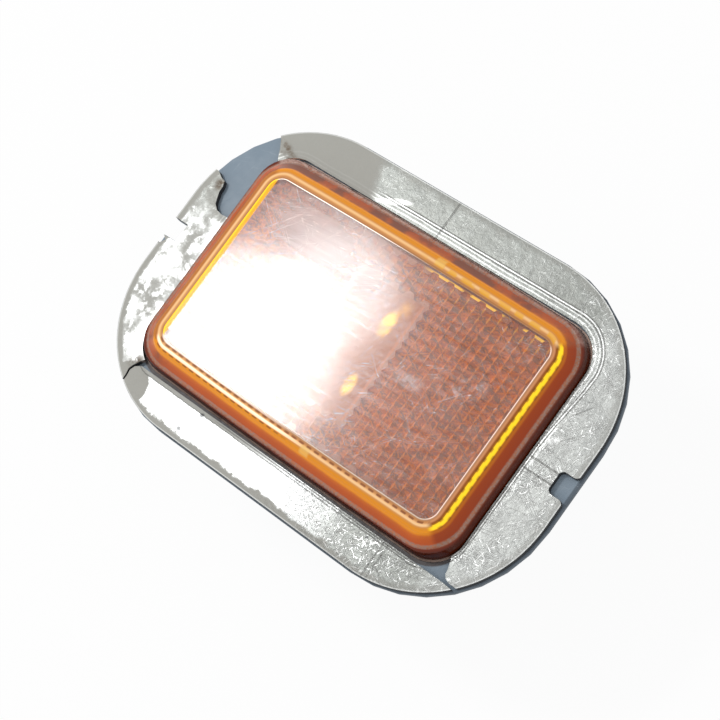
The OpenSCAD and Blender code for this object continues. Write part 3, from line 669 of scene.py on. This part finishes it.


# Silver film: soft swells, short creases, an embossed pair of lines, painted highlights and sheen, dull stretches, dark
# specks and brown glue
def makeFilm():
    paint = Paint("silverFilm")
    spec = filmSpec
    x, y = paint.x, paint.y
    cloud = paint.noise(70, 5.0, 0.6)
    mottle = paint.noise(420, 5.0, 0.65)
    fine = paint.noise(1500, 3.0, 0.6)
    inward = paint.outOf(*spec["inner"])
    margin = -paint.outOf(*spec["outer"])
    uneven = (mottle - 0.5) * 3.0 + (cloud - 0.5) * 3.0

    # Creases and embossed lines. The creases and fine scratches are pale, partly their own colour and partly painted
    # highlight
    crumpled = (x.ramp(20, 50) * 0.8 + y.ramp(-30, -31) * x.ramp(-4, 14)).clamp()
    flecks = paint.dashes((15, 62, 110, 155), 2300, 0.6) * (crumpled * 0.75 + 0.25) * cloud.ramp(0.34, 0.6) * 0.85
    creaseAndHighlight = (flecks + paint.hairlines((12, 47, -30, 82), 1.6) * crumpled * 0.6).clamp()
    offset = y.ramp(spec["grooveStart"], spec["grooveEnd"]) * spec["grooveSpread"] + 0.3
    pair = ((inward - offset).band(-0.22, 0.06, 0.1) + (inward - offset).band(0.38, 0.06, 0.1)) * x.ramp(-20, -14)
    pair = (pair + (inward + uneven * 0.2).band(1.3, 0.06, 0.1) * y.ramp(-30, -31)).clamp()
    between = (inward - offset).band(0.08, 0.16, 0.1) * x.ramp(-20, -14) * y.ramp(-28, 0)
    rolled = (inward * 7.0 + cloud * 9.0).maths("SINE").ramp(0.1, 0.9) * inward.band(0.9, 0.8, 0.3) * y.ramp(-10, 5)
    cuts = (
        x.band(-0.2, 0.12, 0.12) * y.ramp(30, 31)
        + x.band(33.0, 0.1, 0.1) * y.ramp(-30, -31)
        + x.band(34.2, 0.08, 0.1) * y.ramp(-30, -31) * 0.7
        + (y.band(1.2, 0.1, 0.1) + y.band(-1.6, 0.1, 0.1)) * x.ramp(48, 49)
        + paint.spot((52.5, 15), (3.2, 0.2), 55, 0.5) * 0.6
    ).clamp()

    # Stretches that don't shine
    matte = (x + y * 0.35 + uneven * 0.8).ramp(-7.5, -10.5) * y.ramp(28, 30)
    facingDown = (y.ramp(-5, -20) * x.ramp(48, 20) + x.ramp(-44, -54)).clamp()
    border = (margin + uneven * 1.1).ramp(2.0, 1.0) * (facingDown * 0.75 + 0.25)
    corner = (paint.spot((-43.5, -36.5), (6.5, 6.5), 0, 0.4) + uneven * 0.2).ramp(0.3, 0.6)
    patches = cloud.ramp(0.42, 0.58) * mottle.ramp(0.36, 0.56) * x.ramp(-43, -52) * 0.8
    edgeBand = (inward + uneven * 0.2).ramp(1.4, 1.2) * y.ramp(-30, -31) * x.ramp(10, -20) * 0.8
    dull = (matte + border + corner + patches + edgeBand).clamp()

    base = paint.shades(mottle * 0.45 + fine * 0.25 + cloud * 0.3, spec["greys"])
    # Painted highlights: two glints, the ridge between the embossed lines and streaks along the rolled inner edge
    glint = paint.spot((-14.5, 33.0), (5.5, 1.0), 22, 0.6) + paint.spot((51, 6.5), (2.4, 1.2), 40, 0.8) * 0.5
    base = paint.blend((creaseAndHighlight * 0.75 + between * 0.7 + rolled * 0.5 + glint).clamp(), base, colour(*spec["creaseAndHighlight"]))
    shining = (y.ramp(-26, -31) * x.ramp(26, 2) + x.ramp(-44, -50) * y.ramp(12, -2)).clamp() * (1.0 - dull)
    base = paint.blend(shining * 0.85, base, colour(*spec["shine"]))
    base = paint.blend(x.ramp(42, 50) * 0.17, base, colour(*spec["shine"]))
    base = paint.blend(dull * (1.0 - creaseAndHighlight * 0.3) * 0.9, base, colour(*spec["matte"]))
    base = paint.blend(pair * 0.6, base, colour(*spec["cut"]))
    base = paint.blend(cuts * 0.6, base, colour(*spec["cut"]))
    # Painted highlight along the outer edge
    base = paint.blend(margin.band(0.15, 0.12, 0.1) * 0.5, base, colour(*spec["creaseAndHighlight"]))
    specks = (
        paint.spot((-22, -32.5), (0.9, 0.7), 30)
        + paint.spot((-25, -38), (0.9, 0.7), 0)
        + paint.spot((29, -33), (0.6, 0.5), 0)
        + mottle.ramp(0.71, 0.76) * 0.5
    ).clamp()
    base = paint.blend(specks * 0.8, base, colour(*spec["speck"]))
    glue = (
        paint.spot((-55.5, 15.5), (3.4, 2.2), 60, 0.8)
        + paint.spot((-47, 30.5), (5.5, 2.0), -15, 0.8)
        + paint.spot((-45, -31), (3.2, 2.2), 40, 0.8) * 0.8
    ).clamp() * mottle.ramp(0.38, 0.6)
    base = paint.blend(glue * 0.85, base, colour(*spec["glue"]))
    rough = (dull * 0.25 + mottle * 0.16 + spec["rough"] - creaseAndHighlight * 0.12 + glue * 0.3).clamp()
    height = cloud * 1.2 + mottle * 0.5 + creaseAndHighlight * 0.5 - cuts * 0.6 - pair * 0.5 + between * 0.3 + fine * 0.15
    return paint.done(
        paint.principled(
            Base_Color=base,
            Roughness=rough,
            Metallic=(1.0 - dull * 0.85 - glue * 0.3).clamp() * spec["metal"],
            Normal=paint.bump(height, spec["bump"] * mm),
        )
    )


bondSpec = {"shade": (56, 40, 33), "dust": (250, 224, 208), "grain": 700, "reach": 0.6}
foamSpec = {"shade": (28, 30, 33), "dust": (250, 226, 212), "grain": 2400, "reach": 0.6}
bulbSpec = {"rough": 0.02, "ior": 1.5}
filamentSpec = {"shade": (120, 120, 122), "rough": 0.4, "metal": 1.0}
leadSpec = {"shade": (180, 180, 182), "rough": 0.35, "metal": 1.0}
holderSpec = {"shade": (30, 30, 32), "rough": 0.5, "metal": 0.0}
sealSpec = {"shade": (38, 38, 40), "rough": 0.7, "metal": 0.0}
contactSpec = {"shade": (206, 176, 110), "rough": 0.35, "metal": 1.0}
materials = {
    "amber": makeAmber(),
    "sealant": makeDusty("blackSealant", bondSpec),
    "housing": makeHousing(),
    "foam": makeDusty("closedCellFoam", foamSpec),
    "film": makeFilm(),
    "filament": makePlain("tungstenWire", filamentSpec),
    "lead": makePlain("leadWire", leadSpec),
    "holder": makePlain("holderPlastic", holderSpec),
    "rubber": makePlain("sealRubber", sealSpec),
    "contact": makePlain("contactBrass", contactSpec),
    "glass": makeBulbGlass("bulbGlass", bulbSpec),
}
print("materials made:", len(materials))

mergedCopy("lens", "lensMoulding", materials["amber"], lensSpec["edgeAngle"])
mergedCopy("housing", "housingShell", materials["housing"])
filmPiece("skin_main", "filmMain", materials["film"])
filmPiece("skin_left", "filmLeft", materials["film"])
filmPiece("skin_lower", "filmLower", materials["film"])
for node, material in {
    "lens_bond": "sealant",
    "strip_main": "foam",
    "strip_left": "foam",
    "strip_lower": "foam",
    "bulb_glass": "glass",
    "bulb_filament": "filament",
    "bulb_lead_a": "lead",
    "bulb_lead_b": "lead",
    "bulb_holder": "holder",
    "holder_seal": "rubber",
    "contact_a": "contact",
    "contact_b": "contact",
}.items():
    dress(frame["nodes"][node], materials[material])
print("pieces made")

cameraSpec = {
    "place": (177.42, -34.69, 340.38),
    "turn": (0.926658, 0.112142, 0.210595, 0.290481),
    "focal": 85.843,
    "sensor": 36,
}
cameraData = bpy.data.cameras.new("camera")
camera = bpy.data.objects.new("camera", cameraData)
bpy.context.scene.collection.objects.link(camera)
bpy.context.scene.camera = camera
camera.rotation_mode = "QUATERNION"
camera.location = Vector(cameraSpec["place"]) * mm
camera.rotation_quaternion = Quaternion(cameraSpec["turn"])
cameraData.lens = cameraSpec["focal"]
cameraData.sensor_width = cameraSpec["sensor"]
cameraData.clip_start, cameraData.clip_end = 0.01, 20


lightSpec = {
    "softbox": {
        "aim": (-21, -16.4, 5.2),
        "towards": (-0.5105, 0.053, 0.8582),
        "distance": 600,
        "across": 115,
        "radiance": 34,
    },
    "softboxTop": {
        "aim": (-8, 8.6, 5.2),
        "towards": (-0.4858, 0.1131, 0.8667),
        "distance": 600,
        "across": 64,
        "radiance": 28,
    },
    "world": 0.64,  # Light from all round; the background itself shows as white
}


def diskLight(name, spec):
    towards = Vector(spec["towards"]).normalized()
    data = bpy.data.lights.new(name, "AREA")
    data.shape = "DISK"
    data.size = spec["across"] * mm
    data.energy = spec["radiance"] * math.pi * math.pi * (data.size / 2) ** 2
    lamp = bpy.data.objects.new(name, data)
    bpy.context.scene.collection.objects.link(lamp)
    lamp.location = Vector(spec["aim"]) * mm + towards * spec["distance"] * mm
    lamp.rotation_mode = "QUATERNION"
    lamp.rotation_quaternion = (-towards).to_track_quat("-Z", "Y")


for name in ("softbox", "softboxTop"):
    diskLight(name, lightSpec[name])

world = bpy.data.worlds.new("studio")
bpy.context.scene.world = world
world.use_nodes = True
worldTree = world.node_tree
worldTree.nodes.clear()
path = worldTree.nodes.new("ShaderNodeLightPath")
seen = path.outputs["Is Camera Ray"]
for ray in ("Is Glossy Ray", "Is Transmission Ray"):
    either = worldTree.nodes.new("ShaderNodeMath")
    either.operation = "MAXIMUM"
    worldTree.links.new(seen, either.inputs[0])
    worldTree.links.new(path.outputs[ray], either.inputs[1])
    seen = either.outputs[0]
strength = worldTree.nodes.new("ShaderNodeMath")
strength.operation = "MULTIPLY_ADD"
worldTree.links.new(seen, strength.inputs[0])
strength.inputs[1].default_value = 1 - lightSpec["world"]
strength.inputs[2].default_value = lightSpec["world"]
background = worldTree.nodes.new("ShaderNodeBackground")
background.inputs["Color"].default_value = (1, 1, 1, 1)
worldTree.links.new(strength.outputs[0], background.inputs["Strength"])
worldOutput = worldTree.nodes.new("ShaderNodeOutputWorld")
worldTree.links.new(background.outputs[0], worldOutput.inputs["Surface"])

floorSpec = {"low": -44.9, "half": 1500, "shade": 0.9, "shown": 0.94}
bpy.ops.object.select_all(action="DESELECT")
bpy.ops.mesh.primitive_plane_add(size=2 * floorSpec["half"] * mm, location=(0, 0, floorSpec["low"] * mm))
floor = bpy.context.active_object
floor.name = "floor"
floorPaint = Paint("paleFloor")
lightPath = floorPaint.add("LightPath")
direct = Value(floorPaint, lightPath.outputs["Is Camera Ray"])
for ray in ("Is Glossy Ray", "Is Transmission Ray"):
    direct = direct.most(Value(floorPaint, lightPath.outputs[ray]))
matt = floorPaint.add("BsdfDiffuse", {}, {"Color": (*[floorSpec["shade"]] * 3, 1)}).outputs[0]
glow = floorPaint.add("Emission", {}, {"Color": (1, 1, 1, 1), "Strength": 1.0}).outputs[0]
dress(floor, floorPaint.done(floorPaint.mix(direct * floorSpec["shown"], matt, glow)))

bpy.context.scene.view_settings.view_transform = "Standard"
print("camera, lights and floor made")
